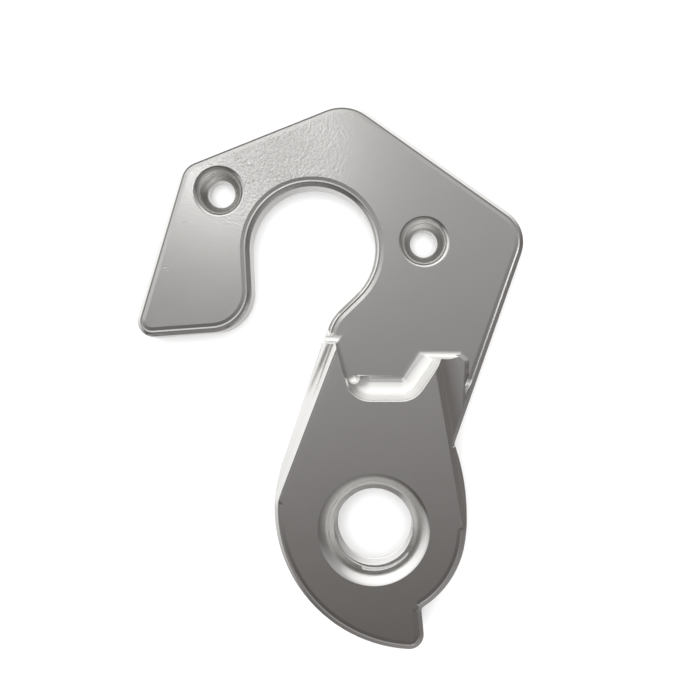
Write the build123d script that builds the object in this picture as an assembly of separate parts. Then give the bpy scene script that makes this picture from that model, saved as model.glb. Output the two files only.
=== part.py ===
from build123d import *
import os
from math import acos, atan2, cos, degrees, hypot, radians, sin, sqrt

# Derailleur hanger, machined in one piece from aluminium plate.
# Millimetres. The origin is on the axis of the derailleur bore, at the back face.
# +Z points out of the face that carries the raised lobe, +Y runs up towards the frame end.

# Thickness
plate_t = 4.0           # the frame end, where it is screwed on
lobe_t = 7.0            # the lobe that carries the derailleur bolt

# Frame end: corners before rounding, and their radii
arm_toe = (-29.4, 22.6)
arm_heel = (-23.2, 43.6)
crown = (-3.2, 51.6)
shoulder = (18.9, 35.95)
arm_toe_r = 1.9
arm_heel_r = 2.9
crown_r = 5.5
shoulder_r = 4.4
arm_foot_slope = 4.1    # degrees, lower edge of the arm
arm_foot_r = 5.0        # corner at the mouth of the axle slot

# Axle slot
slot_centre = (-7.5, 33.4)
slot_r = 7.6
mouth_lean = 3.0        # degrees that the arm side leans into the mouth
throat_at = -46.0       # degrees round the slot, where its round end runs out towards the neck
throat_run = 4.15       # straight from there to the corner between the slot and the neck
throat_r = 5.0

# Lobe round the derailleur bore
end_r = 10.85           # round end, concentric with the bore
waist = (9.65, 9.7)     # inner corner where the neck meets the lobe
waist_r = 1.2
cheek_r = 23.4          # shallow arc between the waist and the round end
belly_centre = (5.0, 2.55)
belly_r = 16.72         # long arc on the other side, down to the stop nose

# Stop nose, against which the derailleur's adjusting screw rests
notch_angle = -59.0     # degrees, where the round end stops
notch_r = 0.6
nose_x = 6.05           # tip of the nose, before rounding
nose_r = 1.7

# Derailleur bore, M10 x 1, with a lip turned in two steps
bore_d = 9.15
lip_d = 12.9
lip_step_d = 10.8
lip_depth = 1.05
lead_depth = 1.4
bore_back_break = 0.5

# Screw holes for two countersunk M3 screws
screw_a = (-18.75, 40.3)
screw_pitch = 25.5
screw_line_angle = -13.8
screw_hole_d = 3.3
screw_head_d = 5.2
screw_rim_d = 6.0
head_recess = 0.6

# Bowl and ears: the edge of the lobe's face towards the frame end, corners before rounding
ear_left_y = 21.94
ear_left_inset = 1.69   # in from the neck's edge
bowl_foot_left = (-2.7, 15.12)
bowl_foot_right = (4.75, 15.12)
ear_right = (7.5, 19.1)
bowl_r = 3.0            # ball-nosed cutter that hollows the bowl
corner_r = 1.0          # smaller one that clears the plate round the ears
mouth_gap = 1.0         # room between that pass and the neck, in the mouth of the slot

# Small step beside the right ear: its corner, from that ear, and where it ends, above the waist
right_step = (3.05, 1.0)
step_turn = 0.45        # cut across the corner
step_end = 3.0

# Flanks of the lobe beside the neck, hollowed with a larger ball-nosed cutter
flank_r = 4.0
flank_step = 0.2        # its floor above the plate
right_flank_foot = (-0.42, -0.5)    # lower end of its upper edge, from the waist corner
left_flank_at = 174.2   # degrees round the long arc, lower end of its upper edge
left_flank_inset = 0.34

# Broken edges
edge_break = 0.5
ridge_break = 0.35
back_break = 0.4

# Cutters run past the part
reach = 80.0            # sideways, longer than the part
overrun = 1.0           # past a face
skin = 0.2              # past a wall


def polar(centre, radius, angle):
    """Point at an angle in degrees on a circle."""
    return (centre[0] + radius * cos(radians(angle)), centre[1] + radius * sin(radians(angle)))


def heading(start, end):
    """Direction in degrees from one point to another."""
    return degrees(atan2(end[1] - start[1], end[0] - start[0]))


def tangent_point(point, centre, radius, side):
    """Where the line from a point touches a circle; side is +1 or -1."""
    distance = hypot(centre[0] - point[0], centre[1] - point[1])
    swing = degrees(acos(radius / distance))
    return polar(centre, radius, heading(centre, point) + side * swing)


def line_cross(p, p_angle, q, q_angle):
    """Crossing of two lines, each given by a point and a direction."""
    ux, uy = cos(radians(p_angle)), sin(radians(p_angle))
    vx, vy = cos(radians(q_angle)), sin(radians(q_angle))
    along = ((q[0] - p[0]) * vy - (q[1] - p[1]) * vx) / (ux * vy - uy * vx)
    return (p[0] + along * ux, p[1] + along * uy)


def neck_edge():
    """Straight edge of the neck, from the long arc up to the corner at the slot."""
    throat = polar(polar(slot_centre, slot_r, throat_at), throat_run, throat_at - 90)
    return tangent_point(throat, belly_centre, belly_r, 1), throat


def hanger_outline():
    """Closed outline of the whole part, seen from the lobe side."""
    bore = (0.0, 0.0)
    # round end and the shallow arc above it, which touch inside one another
    lean = heading(waist, bore)
    span = hypot(*waist)
    ring = cheek_r - end_r
    at_waist = degrees(acos((cheek_r**2 + span**2 - ring**2) / (2 * cheek_r * span)))
    cheek_centre = polar(waist, cheek_r, lean - at_waist)
    touch_angle = heading(cheek_centre, bore)
    cheek_start = heading(cheek_centre, waist)
    notch = polar(bore, end_r, notch_angle)

    # stop nose and belly
    drop = sqrt(belly_r**2 - (nose_x - belly_centre[0]) ** 2)
    nose_tip = (nose_x, belly_centre[1] - drop)
    neck_low, throat = neck_edge()
    nose_at = heading(belly_centre, nose_tip)
    belly_turn = (heading(belly_centre, neck_low) - nose_at) % 360 - 360

    # axle slot
    slot_in = polar(slot_centre, slot_r, throat_at)
    slot_out = polar(slot_centre, slot_r, 180 + mouth_lean)
    slot_turn = 180 + mouth_lean - throat_at
    arm_foot = line_cross(slot_out, 270 + mouth_lean, arm_toe, arm_foot_slope)

    edges = [
        Line(arm_toe, arm_heel),
        Line(arm_heel, crown),
        Line(crown, shoulder),
        Line(shoulder, waist),
        CenterArc(cheek_centre, cheek_r, cheek_start, touch_angle - cheek_start),
        CenterArc(bore, end_r, touch_angle, notch_angle - touch_angle),
        Line(notch, nose_tip),
        CenterArc(belly_centre, belly_r, nose_at, belly_turn),
        Line(neck_low, throat),
        Line(throat, slot_in),
        CenterArc(slot_centre, slot_r, throat_at, slot_turn),
        Line(slot_out, arm_foot),
        Line(arm_foot, arm_toe),
    ]
    face = make_face(edges)
    rounds = [
        (arm_toe, arm_toe_r),
        (arm_heel, arm_heel_r),
        (crown, crown_r),
        (shoulder, shoulder_r),
        (waist, waist_r),
        (notch, notch_r),
        (nose_tip, nose_r),
        (throat, throat_r),
        (arm_foot, arm_foot_r),
    ]
    for point, radius in rounds:
        face = fillet(face.vertices().sort_by_distance(Vector(*point))[0], radius)
    return face


def offset_path(points, distance):
    """Line through points moved sideways, to its left."""
    moved = []
    for start, end in zip(points, points[1:]):
        turn = heading(start, end)
        moved.append((polar(start, distance, turn + 90), turn))
    inner = [line_cross(*first, *second) for first, second in zip(moved, moved[1:])]
    last = polar(points[-1], distance, moved[-1][1] + 90)
    return [moved[0][0]] + inner + [last]


def ball_pass(path, radius, floor):
    """Room swept by a ball-nosed cutter whose lowest point runs along a path at a height."""
    height = floor + radius
    room = [Pos(x, y, height) * Sphere(radius) for x, y in path]
    for start, end in zip(path, path[1:]):
        length = hypot(end[0] - start[0], end[1] - start[1])
        middle = ((start[0] + end[0]) / 2, (start[1] + end[1]) / 2)
        along = Pos(*middle, height) * Rot(0, 0, heading(start, end))
        room.append(along * Rot(0, 90, 0) * Cylinder(radius, length))
        room.append(along * Box(length, 2 * radius, lobe_t, align=(Align.CENTER, Align.CENTER, Align.MIN)))
    return room


def block(face, low, high):
    """Upright block of an outline between two heights."""
    return Pos(0, 0, low) * extrude(face, high - low)


def sloped_block(face, low, height):
    """Block that starts as an outline at a height and narrows upwards at 45 degrees."""
    room = extrude(face, height, taper=45)
    if room.bounding_box().max.Z < height / 2:
        room = mirror(room, about=Plane.XY)
    return Pos(0, 0, low) * room


def region(*corners):
    """Flat face with straight sides."""
    return make_face(Polyline(*corners, close=True))


def left_ear():
    """Tip of the lobe's face beside the slot."""
    neck_low, throat = neck_edge()
    at_edge = line_cross(throat, heading(neck_low, throat), (0, ear_left_y), 0)
    return (at_edge[0] + ear_left_inset, ear_left_y)


def frame_end_clearing():
    """Everything above the plate: three passes that leave the bowl, the ears and the small step."""
    neck_low, throat = neck_edge()
    neck_angle = heading(neck_low, throat)
    beside_neck = polar(throat, mouth_gap, neck_angle + 90)
    below_arm = arm_toe[1] - 2 * bowl_r
    left_edge = [
        (-reach, below_arm),
        line_cross(beside_neck, neck_angle, (0, below_arm), 0),
        line_cross(beside_neck, neck_angle, (0, ear_left_y), 0),
        left_ear(),
        bowl_foot_left,
    ]
    past_ear = polar(ear_right, 2 * bowl_r, heading(bowl_foot_right, ear_right))
    step_x, step_y = ear_right[0] + right_step[0], ear_right[1] + right_step[1]
    right_edge = [
        (ear_right[0] - bowl_r, step_y),
        (step_x - step_turn, step_y),
        (step_x, step_y - step_turn),
        (step_x, waist[1] + step_end),
    ]
    bowl = offset_path([left_ear(), bowl_foot_left, bowl_foot_right, past_ear], bowl_r)[1:]
    left = offset_path(left_edge, corner_r)
    left[-1] = line_cross(left[-1], heading(left_ear(), bowl_foot_left), bowl[0], 0)
    right = offset_path(right_edge, corner_r)
    fields = [
        region(*left, *bowl, (bowl[-1][0], reach), (-reach, reach)),
        region(*right, (reach, right[-1][1]), (reach, reach), (right[0][0], reach)),
    ]
    cutters = [block(field, plate_t, plate_t + lobe_t) for field in fields]
    for path, radius in ((left, corner_r), (bowl, bowl_r), (right, corner_r)):
        cutters += ball_pass(path, radius, plate_t)
    return cutters


def flank_clearing(top, end, side):
    """Hollow flank beside the neck; its upper edge lies along a line on the lobe's face, and is broken."""
    flank_floor = plate_t + flank_step
    rise = flank_floor + flank_r - lobe_t
    offset_out = sqrt(flank_r**2 - rise**2)
    turn = heading(top, end)
    away = turn + 90 * side
    start = polar(polar(top, offset_out, away), reach, turn + 180)
    finish = polar(polar(end, offset_out, away), reach, turn)
    far = [polar(point, reach, away) for point in (finish, start)]
    field = block(region(start, finish, *far), flank_floor, flank_floor + lobe_t)
    middle = polar(polar(top, ridge_break / 2, away + 180), hypot(end[0] - top[0], end[1] - top[1]) / 2, turn)
    on_ridge = Pos(*middle, lobe_t - ridge_break / 2) * Rot(0, 0, turn) * Rot(-45 * side, 0, 0)
    width = 4 * ridge_break
    ridge = on_ridge * Box(reach, width, width, align=(Align.CENTER, Align.CENTER, Align.MIN))
    return [field, ridge] + ball_pass([start, finish], flank_r, flank_floor)


def milled_hanger(outline):
    """The blank, its back edge broken, with the frame end cleared and both flanks hollowed."""
    part = block(outline, 0, lobe_t)
    part = chamfer(part.edges().group_by(Axis.Z)[0], back_break)
    right_foot = (waist[0] + right_flank_foot[0], waist[1] + right_flank_foot[1])
    left_foot = polar(belly_centre, belly_r - left_flank_inset, left_flank_at)
    cutters = frame_end_clearing()
    cutters += flank_clearing(ear_right, right_foot, 1)
    cutters += flank_clearing(left_ear(), left_foot, -1)
    for cutter in cutters:
        part -= cutter
    return part


def with_broken_edges(part, outline):
    """45 degree breaks round the lobe's face, and round the plate's face down to the waist."""
    grown = offset(outline, skin)
    low = lobe_t - edge_break - skin
    part &= block(grown, 0, low) + sloped_block(grown, low, edge_break + 2 * skin)
    low = plate_t - edge_break - skin
    inner = block(offset(outline, -edge_break), low, lobe_t + overrun)
    inner += sloped_block(grown, low, edge_break + 1.5 * skin)
    left_end, right_end = ear_left_y + corner_r, waist[1]
    frame_end = region(
        (reach, right_end),
        (0, right_end),
        (0, left_end),
        (-reach, left_end),
        (-reach, reach),
        (reach, reach),
    )
    return part - (block(frame_end, low, lobe_t + overrun) - inner)


def turned_bore():
    """Room of the derailleur bore: lip, lead-in, bore and back chamfer."""
    bore_r, step_r = bore_d / 2, lip_step_d / 2
    profile = [
        (0, -overrun),
        (bore_r + bore_back_break + overrun, -overrun),
        (bore_r, bore_back_break),
        (bore_r, lobe_t - lip_depth - lead_depth),
        (step_r, lobe_t - lip_depth),
        (lip_d / 2, lobe_t),
        (lip_d / 2, lobe_t + overrun),
        (0, lobe_t + overrun),
    ]
    face = make_face(Polyline(*[(x, 0, z) for x, z in profile], close=True))
    return revolve(face, Axis.Z)


def screw_hole():
    """Room of one countersunk screw: rim chamfer, recess, countersink and clearance hole."""
    hole_r, head_r, rim_r = screw_hole_d / 2, screw_head_d / 2, screw_rim_d / 2
    rim_low = plate_t - (rim_r - head_r)
    recess_low = rim_low - head_recess
    profile = [
        (0, -overrun),
        (hole_r, -overrun),
        (hole_r, recess_low - (head_r - hole_r)),
        (head_r, recess_low),
        (head_r, rim_low),
        (rim_r, plate_t),
        (rim_r, plate_t + overrun),
        (0, plate_t + overrun),
    ]
    face = make_face(Polyline(*[(x, 0, z) for x, z in profile], close=True))
    return revolve(face, Axis.Z)


rim = hanger_outline()
hanger = with_broken_edges(milled_hanger(rim), rim)
hanger -= turned_bore()
for place in (screw_a, polar(screw_a, screw_pitch, screw_line_angle)):
    hanger -= Pos(*place) * screw_hole()
hanger.label = "hanger"

os.makedirs("parts", exist_ok=True)
export_step(hanger, "parts/hanger.step")
print("hanger", round(hanger.volume), "mm3", hanger.bounding_box())
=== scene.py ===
import math

import bmesh
import bpy
from bpy.props import FloatProperty, FloatVectorProperty, IntProperty, PointerProperty
from mathutils import Matrix, Vector


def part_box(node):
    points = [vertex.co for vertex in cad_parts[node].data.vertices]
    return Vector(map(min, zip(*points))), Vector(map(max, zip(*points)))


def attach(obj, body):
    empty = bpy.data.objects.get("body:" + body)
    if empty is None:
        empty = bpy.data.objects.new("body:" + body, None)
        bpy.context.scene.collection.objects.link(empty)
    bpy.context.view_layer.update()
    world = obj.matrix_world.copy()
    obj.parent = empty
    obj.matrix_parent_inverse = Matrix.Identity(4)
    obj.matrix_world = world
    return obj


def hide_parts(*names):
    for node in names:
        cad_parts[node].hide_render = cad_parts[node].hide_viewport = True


bl_info = {
    "name": "Derailleur Hanger",
    "version": (1, 0, 0),
    "blender": (4, 5, 0),
    "location": "3D View > Sidebar > Hanger",
    "description": "Tumbled aluminium derailleur hanger with a threaded bore, on a pale studio floor",
    "category": "Object",
}

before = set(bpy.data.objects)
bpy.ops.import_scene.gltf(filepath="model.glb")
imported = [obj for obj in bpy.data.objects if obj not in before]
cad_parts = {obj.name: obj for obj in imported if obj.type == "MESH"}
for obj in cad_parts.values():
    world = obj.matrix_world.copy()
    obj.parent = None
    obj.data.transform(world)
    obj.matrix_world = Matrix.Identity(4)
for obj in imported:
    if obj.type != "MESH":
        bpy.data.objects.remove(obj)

MM = 0.001
NODE = "hanger"
UP = Vector((0.0, 0.0, 1.0))
BACK_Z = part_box(NODE)[0].z         # back face, on the floor
PLATE_Z = 4 * MM                   # face of the thinner plate
RIM_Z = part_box(NODE)[1].z          # face of the raised lobe

WELD = 1e-6                        # vertices closer than this are one
FLAT_TURN = math.radians(0.5)      # faces that turn less than this are one flat face
SMOOTH_TURN = math.radians(30)     # edges that turn less than this are shaded smooth,
LEVEL_TURN = math.radians(3)       # or less than this, between faces that are nearly level

# How much of a face's normal points up, from 0 to 1
FLAT_UP = 0.999                    # at least, on a flat face
LEVEL_UP = 0.93                    # at least, on a nearly level one
SLOPE_UP = (0.6, 0.8)              # between these, on a broken edge
WALL_UP = 0.05                     # at most, on an upright wall
WALL_FACING = 0.9                  # least share of a wall's normal across the broken edge over it

SHORTEST_RUN = 5 * MM              # shorter runs of broken edge have no strip
TOE_MIDDLE = (-26.5 * MM, 22.94 * MM, PLATE_Z - 0.346 * MM)    # on the broken edge at the arm's toe
TOE_ROOM = (4 * MM, 2 * MM, 2 * MM)                            # along it, across it and out of it
NICKS = (                          # scratches and dents: start, end, width and depth in mm
    (-23.42, 36.42, -22.38, 36.46, 0.16, 0.03),
    (-20.78, 36.38, -20.44, 36.66, 0.26, 0.06),
    (-23.98, 35.52, -23.78, 35.56, 0.14, 0.04),
    (-25.81, 31.04, -24.49, 31.28, 0.14, 0.025),
    (-25.69, 30.26, -24.73, 30.34, 0.12, 0.025),
    (-25.30, 30.62, -24.60, 30.90, 0.12, 0.02),
)
COARSE_PATCH = (-13 * MM, 45.5 * MM, PLATE_Z)      # middle of the patch with a coarser grain

FLOOR_GAP = 0.01 * MM              # between the back face and the floor
LAMP_PLACE = (0.0, 0.02, 0.8)      # metres
LAMP_SIZE = 1.2
SENSOR_W = 36.0
CLIP = (0.005, 20.0)               # nearest and farthest that the camera sees, in metres
PICTURE_W = 700                    # pixels
SHIFT = (-40, 20)                  # pixels that the picture is shifted across and up


def length(name, description, size, precision=5):
    """Setting for a length, given in millimetres."""
    return FloatProperty(
        name=name, description=description, default=size * MM, unit="LENGTH", precision=precision)


def tilt(name, degrees):
    """Setting for how far a soft light leans from straight up."""
    return FloatProperty(
        name=name, description="Angle of the light from straight up",
        default=math.radians(degrees), subtype="ANGLE")


def turn(name, degrees):
    """Setting for the side that a soft light is on."""
    return FloatProperty(
        name=name, description="Compass angle of the light, from +X towards +Y",
        default=math.radians(degrees), subtype="ANGLE")


class HangerBodySettings(bpy.types.PropertyGroup):
    """Sizes of what the finished body adds to the plain solid."""

    edge_round: length("Edge rounding", "Width of the rounding that tumbling leaves on each edge", 0.11)
    edge_steps: IntProperty(
        name="Edge steps", description="Faces across each rounded edge", default=3, min=1)
    edge_turn: FloatProperty(
        name="Edge turn", description="Edges that turn more than this are rounded",
        default=math.radians(18), subtype="ANGLE")
    lip_r: length("Lip radius", "Radius of the bore's lip at the lobe's face", 6.45)
    step_r: length("Step radius", "Radius where the lip meets the lead-in cone", 5.4)
    lip_depth: length("Lip depth", "Depth of the lip below the lobe's face", 1.05)
    lead_depth: length("Lead-in depth", "Depth of the lead-in cone below the lip", 1.4)
    minor_r: length("Thread minor radius", "Radius at the crests of the thread", 4.575)
    major_r: length("Thread major radius", "Radius at the roots of the thread", 5.0)
    pitch: length("Thread pitch", "Distance from one turn of the thread to the next", 1.0)
    strip_w: length("Strip width", "Width of the shallow strip inside the outline's broken edge", 0.42)
    ridge_strip_w: length(
        "Ridge strip width", "Width of that strip along the ridges beside the neck", 0.12)
    strip_drop: length("Strip drop", "How far that strip falls towards the edge", 0.067, precision=6)
    bead_w: length("Bead width", "Width of the thin bead left at the very edge", 0.18)
    bead_rise: length("Bead rise", "Height of the bead above the strip beside it", 0.036, precision=6)


class HangerFinishSettings(bpy.types.PropertyGroup):
    """Look of the bare, tumbled aluminium."""

    colour: FloatVectorProperty(
        name="Metal colour", description="Reflected colour of the bare metal",
        default=(0.80, 0.80, 0.785), size=3, subtype="COLOR", min=0.0, max=1.0)
    roughness: FloatProperty(
        name="Roughness", description="Mean roughness of the tumbled faces",
        default=0.22, min=0.0, max=1.0, subtype="FACTOR")
    grain: length("Grain size", "Size of the dimples that tumbling leaves", 0.3)
    grain_depth: length("Grain depth", "Depth of those dimples", 0.004, precision=6)
    coarse_depth: length(
        "Coarse depth", "Added depth in the coarse patch near the top edge", 0.035, precision=6)
    coarse_r: length("Coarse radius", "Radius of that patch", 12)


class HangerStudioSettings(bpy.types.PropertyGroup):
    """Floor, light and camera."""

    floor_colour: FloatVectorProperty(
        name="Floor colour", description="Colour of the studio floor",
        default=(0.9, 0.9, 0.9), size=3, subtype="COLOR", min=0.0, max=1.0)
    floor_size: FloatProperty(
        name="Floor size", description="Side of the floor", default=3.0, unit="LENGTH")
    floor_light: FloatProperty(
        name="Floor light", description="Power of the overhead light that whitens the floor",
        default=14.0, unit="POWER")
    key_strength: FloatProperty(
        name="Key strength", description="Brightness of the wide soft key side", default=0.56)
    key_spread: FloatProperty(
        name="Key spread", description="Higher is a narrower key side", default=0.9)
    key_tilt: tilt("Key tilt", 71.7)
    key_turn: turn("Key turn", 97)
    window_strength: FloatProperty(
        name="Window strength", description="Brightness of the small overhead window", default=3.2)
    window_spread: FloatProperty(
        name="Window spread", description="Higher is a smaller window", default=450.0)
    window_tilt: tilt("Window tilt", 17.8)
    window_turn: turn("Window turn", 124)
    bounce_strength: FloatProperty(
        name="Bounce strength", description="Brightness of the bounce from low down", default=0.93)
    bounce_spread: FloatProperty(
        name="Bounce spread", description="Higher is a narrower bounce", default=0.5)
    bounce_tilt: tilt("Bounce tilt", 115)
    bounce_turn: turn("Bounce turn", 129)
    fill_strength: FloatProperty(
        name="Fill strength", description="Brightness of the faint fill opposite the key side",
        default=0.21)
    fill_spread: FloatProperty(
        name="Fill spread", description="Higher is a narrower fill", default=1.5)
    fill_tilt: tilt("Fill tilt", 110)
    fill_turn: turn("Fill turn", -61)
    room: FloatProperty(
        name="Room light", description="Brightness of the rest of the room", default=0.105)
    room_colour: FloatVectorProperty(
        name="Room colour", description="Faint warmth of the rest of the room",
        default=(1.0, 0.90, 0.87), size=3, subtype="COLOR", min=0.0, max=1.0)
    camera_x: length("Camera X", "Camera position across the part", 1.9)
    camera_y: length("Camera Y", "Camera position along the part", 18.75)
    camera_height: length("Camera height", "Camera height above the floor", 114)
    lens: FloatProperty(
        name="Lens", description="Focal length for a sensor 36 mm wide", default=46.95, unit="CAMERA")


def move_in(bm, name):
    """New object from a bmesh, in the scene."""
    mesh = bpy.data.meshes.new(name)
    bm.to_mesh(mesh)
    bm.free()
    piece = bpy.data.objects.new(name, mesh)
    bpy.context.scene.collection.objects.link(piece)
    return piece


def apply_modifiers(piece):
    """Turns a piece's modifiers into its mesh."""
    depsgraph = bpy.context.evaluated_depsgraph_get()
    mesh = bpy.data.meshes.new_from_object(piece.evaluated_get(depsgraph), depsgraph=depsgraph)
    piece.modifiers.clear()
    old = piece.data
    piece.data = mesh
    bpy.data.meshes.remove(old)


def solid_copy(name):
    """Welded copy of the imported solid, with each flat face in as few polygons as it can have."""
    bm = bmesh.new()
    bm.from_mesh(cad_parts[NODE].data)
    bmesh.ops.remove_doubles(bm, verts=bm.verts, dist=WELD)
    bmesh.ops.dissolve_limit(bm, angle_limit=FLAT_TURN, verts=bm.verts, edges=bm.edges)
    return move_in(bm, name)


def round_edges(piece, body):
    """Rounds every outer edge a little, as tumbling does."""
    bm = bmesh.new()
    bm.from_mesh(piece.data)
    weight = bm.edges.layers.float.new("bevel_weight_edge")
    for edge in bm.edges:
        edge[weight] = float(edge.calc_face_angle_signed(0.0) > body.edge_turn)
    bm.to_mesh(piece.data)
    bm.free()
    bevel = piece.modifiers.new("tumbled edges", "BEVEL")
    bevel.width = body.edge_round
    bevel.segments = body.edge_steps
    bevel.limit_method = "WEIGHT"
    bevel.use_clamp_overlap = False
    bevel.miter_outer = "MITER_ARC"
    apply_modifiers(piece)


def is_slope(face):
    """Whether a face lies at about 45 degrees."""
    return SLOPE_UP[0] < face.normal.z < SLOPE_UP[1]


def leads_to_wall(slope, edge):
    """Whether a broken edge's face ends, all along its foot, in an upright wall."""
    outward = Vector((slope.normal.x, slope.normal.y, 0.0)).normalized()

    def by_wall(vert):
        return any(
            abs(face.normal.z) < WALL_UP and abs(face.normal.dot(outward)) > WALL_FACING
            for face in vert.link_faces)

    for foot in slope.verts:
        lower_rows = (face for face in foot.link_faces if face is not slope and is_slope(face))
        if foot not in edge.verts and not by_wall(foot):
            if not any(by_wall(vert) for face in lower_rows for vert in face.verts):
                return False
    return True


def broken_edge_runs(piece, over_wall):
    """Open runs of points where a flat face, on the left, meets a broken edge over a wall or not."""
    bm = bmesh.new()
    bm.from_mesh(piece.data)
    ahead = {}
    for edge in bm.edges:
        slope, flat = sorted(edge.link_faces, key=lambda face: face.normal.z)
        if flat.normal.z < FLAT_UP or not is_slope(slope) or leads_to_wall(slope, edge) != over_wall:
            continue
        start, end = (vert.co.copy().freeze() for vert in edge.verts)
        leftward = Vector((start.y - end.y, end.x - start.x, 0.0))
        if leftward.dot(slope.normal) > 0:
            start, end = end, start
        ahead[start] = end
    bm.free()
    followed = set(ahead.values())
    runs = []
    for start in ahead:
        if start in followed:
            continue
        run = [start]
        while run[-1] in ahead:
            run.append(ahead[run[-1]])
        if sum((after - before).length for before, after in zip(run, run[1:])) > SHORTEST_RUN:
            runs.append(run)
    return runs


def join_rings(bm, rings):
    """Closes rings of vertices into a solid, bottom to top."""
    sides = len(rings[0])
    for low, high in zip(rings, rings[1:]):
        for side in range(sides):
            after = (side + 1) % sides
            bm.faces.new((low[side], low[after], high[after], high[side]))
    bm.faces.new(reversed(rings[0]))
    bm.faces.new(rings[-1])


def strip_cutter(run, strip_w, body):
    """Room above the shallow strip and the thin bead along a run; it fades out at both ends."""
    fade = 1.0 * MM                 # length over which it fades
    clear, lift = 0.1 * MM, 0.25 * MM
    outside = -3 * clear            # how far the room reaches past the edge
    inside = strip_w + body.bead_w
    slope = body.strip_drop / strip_w
    bead_z = body.bead_rise - body.strip_drop
    section = [
        (inside + clear, min(lift / 2, clear * slope)),
        (body.bead_w, -body.strip_drop),
        (0.0, bead_z),
        (outside, bead_z),
        (outside, lift),
        (inside + clear, lift),
    ]

    def short_of(end, neighbour):
        return end.lerp(neighbour, min(0.5, fade / (neighbour - end).length))

    points = [run[0], short_of(run[0], run[1]), *run[1:-1], short_of(run[-1], run[-2]), run[-1]]
    bm = bmesh.new()
    rings = []
    for index, point in enumerate(points):
        arriving = (point - points[max(index - 1, 0)]).normalized()
        leaving = (points[min(index + 1, len(points) - 1)] - point).normalized()
        along = (arriving + leaving).normalized()
        leftward = Vector((-along.y, along.x, 0.0)) / max(along.dot(arriving), along.dot(leaving))
        rise = body.strip_drop if index in (0, len(points) - 1) else 0.0
        rings.append([
            bm.verts.new(point + leftward * inward + UP * (height + rise))
            for inward, height in section])
    join_rings(bm, rings)
    bmesh.ops.recalc_face_normals(bm, faces=bm.faces)
    return move_in(bm, "strip cutter")


def toe_cutter():
    """Room that carries the broken edge on round the lowest part of the arm's toe."""
    bm = bmesh.new()
    slope = Matrix.Rotation(math.radians(45), 4, "X")
    middle = Vector(TOE_MIDDLE) + slope @ (UP * TOE_ROOM[2] / 2)
    size = Matrix.Diagonal((*TOE_ROOM, 1.0))
    bmesh.ops.create_cube(bm, size=1.0, matrix=Matrix.Translation(middle) @ slope @ size)
    return move_in(bm, "toe cutter")


def nick_cutter():
    """Room of the few shallow scratches and dents on the arm's face."""
    lift = 0.01 * MM
    bm = bmesh.new()
    for *ends, width, depth in NICKS:
        start, end = (Vector((*ends[at:at + 2], 0.0)) * MM + UP * PLATE_Z for at in (0, 2))
        across = (end - start).cross(UP).normalized() * width / 2 * MM
        middle = (start + end) / 2
        corners = [start, end, middle + across, middle - across]
        hull = [bm.verts.new(corner + UP * height) for height in (0.0, lift) for corner in corners]
        hull.append(bm.verts.new(middle - UP * (depth * MM)))
        bmesh.ops.convex_hull(bm, input=hull)
    return move_in(bm, "nick cutter")


def lathe(profile, steps, name):
    """Closed solid turned round +Z from (radius, height) points, bottom to top."""
    bm = bmesh.new()
    rings = []
    for radius, height in profile:
        ring = []
        for step in range(steps):
            angle = math.tau * step / steps
            ring.append(bm.verts.new((radius * math.cos(angle), radius * math.sin(angle), height)))
        rings.append(ring)
    join_rings(bm, rings)
    return move_in(bm, name)


def rounded(points, radius, steps):
    """Profile with each inner corner rounded."""
    most = 0.45                     # share of a side that a rounded corner can take up
    path = [points[0]]
    for before, corner, after in zip(points, points[1:], points[2:]):
        corner = Vector(corner)
        inward, outward = Vector(before) - corner, Vector(after) - corner
        reach = min(radius, most * inward.length, most * outward.length)
        start = corner + inward.normalized() * reach
        end = corner + outward.normalized() * reach
        for step in range(steps + 1):
            share = step / steps
            path.append(tuple(start.lerp(corner, share).lerp(corner.lerp(end, share), share)))
    path.append(points[-1])
    return path


def lip_cutter(body):
    """Room of the lip and the lead-in cone, with softly rounded steps."""
    steps, corner_steps, corner_r = 192, 8, 0.55 * MM
    past, skin = 1.0 * MM, 0.006 * MM       # past the bore and the face, and into the solid
    lip_z = RIM_Z - body.lip_depth
    lead_z = lip_z - body.lead_depth
    points = [
        (body.minor_r - past, lead_z - past),
        (body.minor_r + skin, lead_z),
        (body.step_r + skin, lip_z),
        (body.lip_r + skin, RIM_Z),
        (body.lip_r + skin + past, RIM_Z + 0.25 * past),
        (body.lip_r + past, RIM_Z + past),
    ]
    return lathe(rounded(points, corner_r, corner_steps), steps, "lip cutter")


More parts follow.
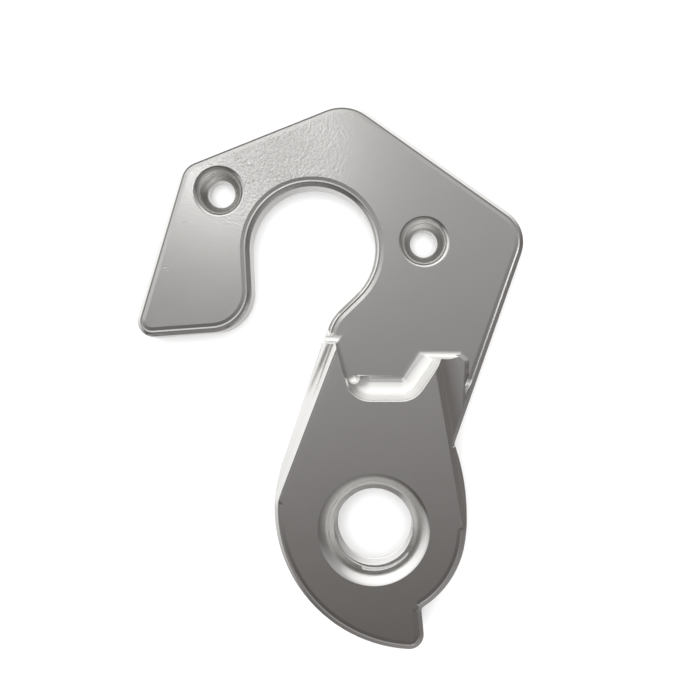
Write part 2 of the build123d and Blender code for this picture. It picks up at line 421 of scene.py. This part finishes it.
def thread_cutter(body):
    """Room of the thread's grooves, one continuous helix; its crests stay inside the bore."""
    steps, turns = 144, 6
    low = BACK_Z - 1.6 * MM
    crest_r = body.minor_r - 0.1 * MM
    crown, fall = 0.01 * MM, 0.012 * MM     # of the root, at its middle and at its sides
    root = 1 / 8 / 2                        # half the root's width, in turns
    flank = (body.major_r - crest_r) / body.pitch * math.tan(math.radians(30))
    profile = [                             # share of a turn, and radius there
        (0.0, body.major_r + crown),
        (root / 2, body.major_r),
        (root, body.major_r - fall),
        (root + flank / 2, (body.major_r + crest_r) / 2),
        (root + flank, crest_r),
        (0.5, crest_r),
        (1 - root - flank, crest_r),
        (1 - root, body.major_r - fall),
    ]
    bm = bmesh.new()
    rows = []
    for turned in range(turns):
        for share, radius in profile:
            row = []
            for step in range(steps):
                angle = math.tau * step / steps
                height = low + (turned + share + step / steps) * body.pitch
                row.append(bm.verts.new((radius * math.cos(angle), radius * math.sin(angle), height)))
            rows.append(row)
    per_turn, last = len(profile), len(rows) - 1

    def at(row, step):
        return rows[row + per_turn][0] if step == steps else rows[row][step]

    for row in range(last):
        for step in range(steps):
            if step < steps - 1 or row + 1 + per_turn <= last:
                after = step + 1
                bm.faces.new((at(row, step), at(row, after), at(row + 1, after), at(row + 1, step)))
    foot = rows[0] + [rows[row][0] for row in range(per_turn, 0, -1)]
    head = rows[last] + [rows[row][-1] for row in range(last - 1, last - 1 - per_turn, -1)]
    for border, middle_z in ((foot, low), (head, low + turns * body.pitch)):
        middle = bm.verts.new((0.0, 0.0, middle_z))
        for first, second in zip(border, border[1:] + border[:1]):
            bm.faces.new((first, second, middle))
    bmesh.ops.recalc_face_normals(bm, faces=bm.faces)
    return move_in(bm, "thread cutter")


def cut_away(piece, cutter):
    """Takes a cutter's room out of a piece and drops the cutter."""
    cut = piece.modifiers.new("cut", "BOOLEAN")
    cut.operation = "DIFFERENCE"
    cut.solver = "EXACT"
    cut.object = cutter
    apply_modifiers(piece)
    mesh = cutter.data
    bpy.data.objects.remove(cutter)
    bpy.data.meshes.remove(mesh)


def shade(piece):
    """Smooth shading over rounded edges, with the flat faces kept flat."""
    piece.data.shade_smooth()
    piece.data.set_sharp_from_angle(angle=SMOOTH_TURN)
    bm = bmesh.new()
    bm.from_mesh(piece.data)
    for edge in bm.edges:
        level = all(face.normal.z > LEVEL_UP for face in edge.link_faces)
        if level and edge.calc_face_angle(0.0) > LEVEL_TURN:
            edge.smooth = False
    bm.to_mesh(piece.data)
    bm.free()
    weighted = piece.modifiers.new("flat faces", "WEIGHTED_NORMAL")
    weighted.keep_sharp = True
    apply_modifiers(piece)


def tumbled_aluminium(finish):
    """Bare aluminium with the haze and the fine dimples of tumbling."""
    material = bpy.data.materials.new("tumbled aluminium")
    material.use_nodes = True
    nodes, links = material.node_tree.nodes, material.node_tree.links
    shader = nodes["Principled BSDF"]
    shader.inputs["Metallic"].default_value = 1.0
    shader.inputs["Base Color"].default_value = (*finish.colour, 1.0)
    place = nodes.new("ShaderNodeTexCoord").outputs["Object"]

    def noise(size, detail, rough):
        node = nodes.new("ShaderNodeTexNoise")
        node.inputs["Scale"].default_value = 1.0 / size
        node.inputs["Detail"].default_value = detail
        node.inputs["Roughness"].default_value = rough
        links.new(place, node.inputs["Vector"])
        return node.outputs["Fac"]

    def remap(source, given, wanted, shape="LINEAR"):
        node = nodes.new("ShaderNodeMapRange")
        node.interpolation_type = shape
        for name, value in zip(("From Min", "From Max", "To Min", "To Max"), (*given, *wanted)):
            node.inputs[name].default_value = value
        links.new(source, node.inputs["Value"])
        return node.outputs["Result"]

    haze, haze_size = 0.015, 1.5 * MM
    usual = (0.3, 0.7)              # where most of the noise's values lie
    rough = (finish.roughness - haze, finish.roughness + haze)
    links.new(remap(noise(haze_size, 4.0, 0.5), usual, rough), shader.inputs["Roughness"])

    apart = nodes.new("ShaderNodeVectorMath")
    apart.operation = "DISTANCE"
    apart.inputs[1].default_value = COARSE_PATCH
    links.new(place, apart.inputs[0])
    fading = (0.2 * finish.coarse_r, finish.coarse_r)
    depths = (finish.grain_depth + finish.coarse_depth, finish.grain_depth)
    bump = nodes.new("ShaderNodeBump")
    bump.inputs["Strength"].default_value = 1.0
    links.new(remap(apart.outputs["Value"], fading, depths, "SMOOTHSTEP"), bump.inputs["Distance"])
    links.new(noise(finish.grain, 3.0, 0.6), bump.inputs["Height"])
    links.new(bump.outputs["Normal"], shader.inputs["Normal"])
    return material


class HANGER_OT_machined_body(bpy.types.Operator):
    """Make the finished hanger: rounded edges, turned lip, thread and tumbled metal"""

    bl_idname = "hanger.machined_body"
    bl_label = "Machined Body"
    bl_options = {"REGISTER", "UNDO"}

    def execute(self, context):
        body = context.scene.hanger_body
        piece = solid_copy("machined_body")
        outline, ridges = (broken_edge_runs(piece, over_wall) for over_wall in (True, False))
        round_edges(piece, body)
        for runs, strip_w in ((outline, body.strip_w), (ridges, body.ridge_strip_w)):
            for run in runs:
                cut_away(piece, strip_cutter(run, strip_w, body))
        cut_away(piece, toe_cutter())
        cut_away(piece, nick_cutter())
        cut_away(piece, lip_cutter(body))
        cut_away(piece, thread_cutter(body))
        shade(piece)
        piece.data.materials.clear()
        piece.data.materials.append(tumbled_aluminium(context.scene.hanger_finish))
        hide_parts(NODE)
        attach(piece, "root")
        return {"FINISHED"}


def studio_floor(studio):
    """Pale floor, kept out of the metal's reflections."""
    bm = bmesh.new()
    bmesh.ops.create_grid(bm, x_segments=1, y_segments=1, size=studio.floor_size / 2)
    floor = move_in(bm, "studio_floor")
    floor.location.z = BACK_Z - FLOOR_GAP
    material = bpy.data.materials.new("pale floor")
    material.use_nodes = True
    shader = material.node_tree.nodes["Principled BSDF"]
    shader.inputs["Base Color"].default_value = (*studio.floor_colour, 1.0)
    shader.inputs["Roughness"].default_value = 1.0
    shader.inputs["Specular IOR Level"].default_value = 0.0
    floor.data.materials.append(material)
    floor.visible_glossy = False


def soft_room(studio):
    """Soft light all round: a wide key side, a small overhead window, a low bounce and a faint fill."""
    world = bpy.data.worlds.new("soft room")
    bpy.context.scene.world = world
    world.use_nodes = True
    nodes, links = world.node_tree.nodes, world.node_tree.links
    direction = nodes.new("ShaderNodeTexCoord").outputs["Generated"]

    def step(operation, value, source):
        node = nodes.new("ShaderNodeMath")
        node.operation = operation
        node.inputs[1].default_value = value
        links.new(source, node.inputs[0])
        return node.outputs["Value"]

    def side(lean, compass, strength, spread):
        toward = nodes.new("ShaderNodeVectorMath")
        toward.operation = "DOT_PRODUCT"
        toward.inputs[1].default_value = (
            math.sin(lean) * math.cos(compass), math.sin(lean) * math.sin(compass), math.cos(lean))
        links.new(direction, toward.inputs[0])
        lit = step("MAXIMUM", 0.0, toward.outputs["Value"])
        return step("MULTIPLY", strength, step("POWER", spread, lit))

    def glow(colour):
        node = nodes.new("ShaderNodeBackground")
        node.inputs["Color"].default_value = (*colour, 1.0)
        return node

    def both(first, second):
        node = nodes.new("ShaderNodeAddShader")
        links.new(first, node.inputs[0])
        links.new(second, node.inputs[1])
        return node.outputs["Shader"]

    rest_of_room = glow(studio.room_colour)
    rest_of_room.inputs["Strength"].default_value = studio.room
    light = rest_of_room.outputs["Background"]
    for lobe in (
        side(studio.key_tilt, studio.key_turn, studio.key_strength, studio.key_spread),
        side(studio.window_tilt, studio.window_turn, studio.window_strength, studio.window_spread),
        side(studio.bounce_tilt, studio.bounce_turn, studio.bounce_strength, studio.bounce_spread),
        side(studio.fill_tilt, studio.fill_turn, studio.fill_strength, studio.fill_spread),
    ):
        white = glow((1.0, 1.0, 1.0))
        links.new(lobe, white.inputs["Strength"])
        light = both(light, white.outputs["Background"])
    nodes.remove(nodes["Background"])
    links.new(light, nodes["World Output"].inputs["Surface"])


def floor_light(studio):
    """Wide overhead light that the metal doesn't reflect."""
    light = bpy.data.lights.new("floor light", "AREA")
    light.energy = studio.floor_light
    light.size = LAMP_SIZE
    lamp = bpy.data.objects.new("floor light", light)
    lamp.location = LAMP_PLACE
    lamp.visible_glossy = False
    bpy.context.scene.collection.objects.link(lamp)


def overhead_camera(studio):
    """Camera straight above the part, with the picture shifted so that the part stands as it should."""
    camera = bpy.data.cameras.new("camera")
    camera.lens = studio.lens
    camera.sensor_width = SENSOR_W
    camera.shift_x, camera.shift_y = (pixels / PICTURE_W for pixels in SHIFT)
    camera.clip_start, camera.clip_end = CLIP
    holder = bpy.data.objects.new("camera", camera)
    holder.location = (studio.camera_x, studio.camera_y, studio.camera_height)
    bpy.context.scene.collection.objects.link(holder)
    bpy.context.scene.camera = holder


class HANGER_OT_studio_stage(bpy.types.Operator):
    """Make the pale floor, the soft light and the camera"""

    bl_idname = "hanger.studio_stage"
    bl_label = "Studio Stage"
    bl_options = {"REGISTER", "UNDO"}

    def execute(self, context):
        studio = context.scene.hanger_studio
        studio_floor(studio)
        soft_room(studio)
        floor_light(studio)
        overhead_camera(studio)
        context.scene.view_settings.view_transform = "Standard"
        return {"FINISHED"}


class HANGER_PT_panel(bpy.types.Panel):
    """The hanger's pieces and settings"""

    bl_idname = "HANGER_PT_panel"
    bl_label = "Derailleur Hanger"
    bl_space_type = "VIEW_3D"
    bl_region_type = "UI"
    bl_category = "Hanger"

    def draw(self, context):
        scene = context.scene
        groups = (
            (HANGER_OT_machined_body, (scene.hanger_body, scene.hanger_finish)),
            (HANGER_OT_studio_stage, (scene.hanger_studio,)),
        )
        for operator, settings in groups:
            box = self.layout.box()
            box.operator(operator.bl_idname)
            for group in settings:
                for name in group.__annotations__:
                    box.prop(group, name)


SETTINGS = {
    "hanger_body": HangerBodySettings,
    "hanger_finish": HangerFinishSettings,
    "hanger_studio": HangerStudioSettings,
}
CLASSES = (*SETTINGS.values(), HANGER_OT_machined_body, HANGER_OT_studio_stage, HANGER_PT_panel)


def register():
    """Adds the settings, the operators and the panel."""
    for cls in CLASSES:
        bpy.utils.register_class(cls)
    for name, group in SETTINGS.items():
        setattr(bpy.types.Scene, name, PointerProperty(type=group))


def unregister():
    """Takes them out again."""
    for name in SETTINGS:
        delattr(bpy.types.Scene, name)
    for cls in reversed(CLASSES):
        bpy.utils.unregister_class(cls)


def main():
    """Makes every piece and the stage."""
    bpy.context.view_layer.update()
    register()
    bpy.ops.hanger.machined_body()
    bpy.ops.hanger.studio_stage()


if __name__ == "__main__":
    main()
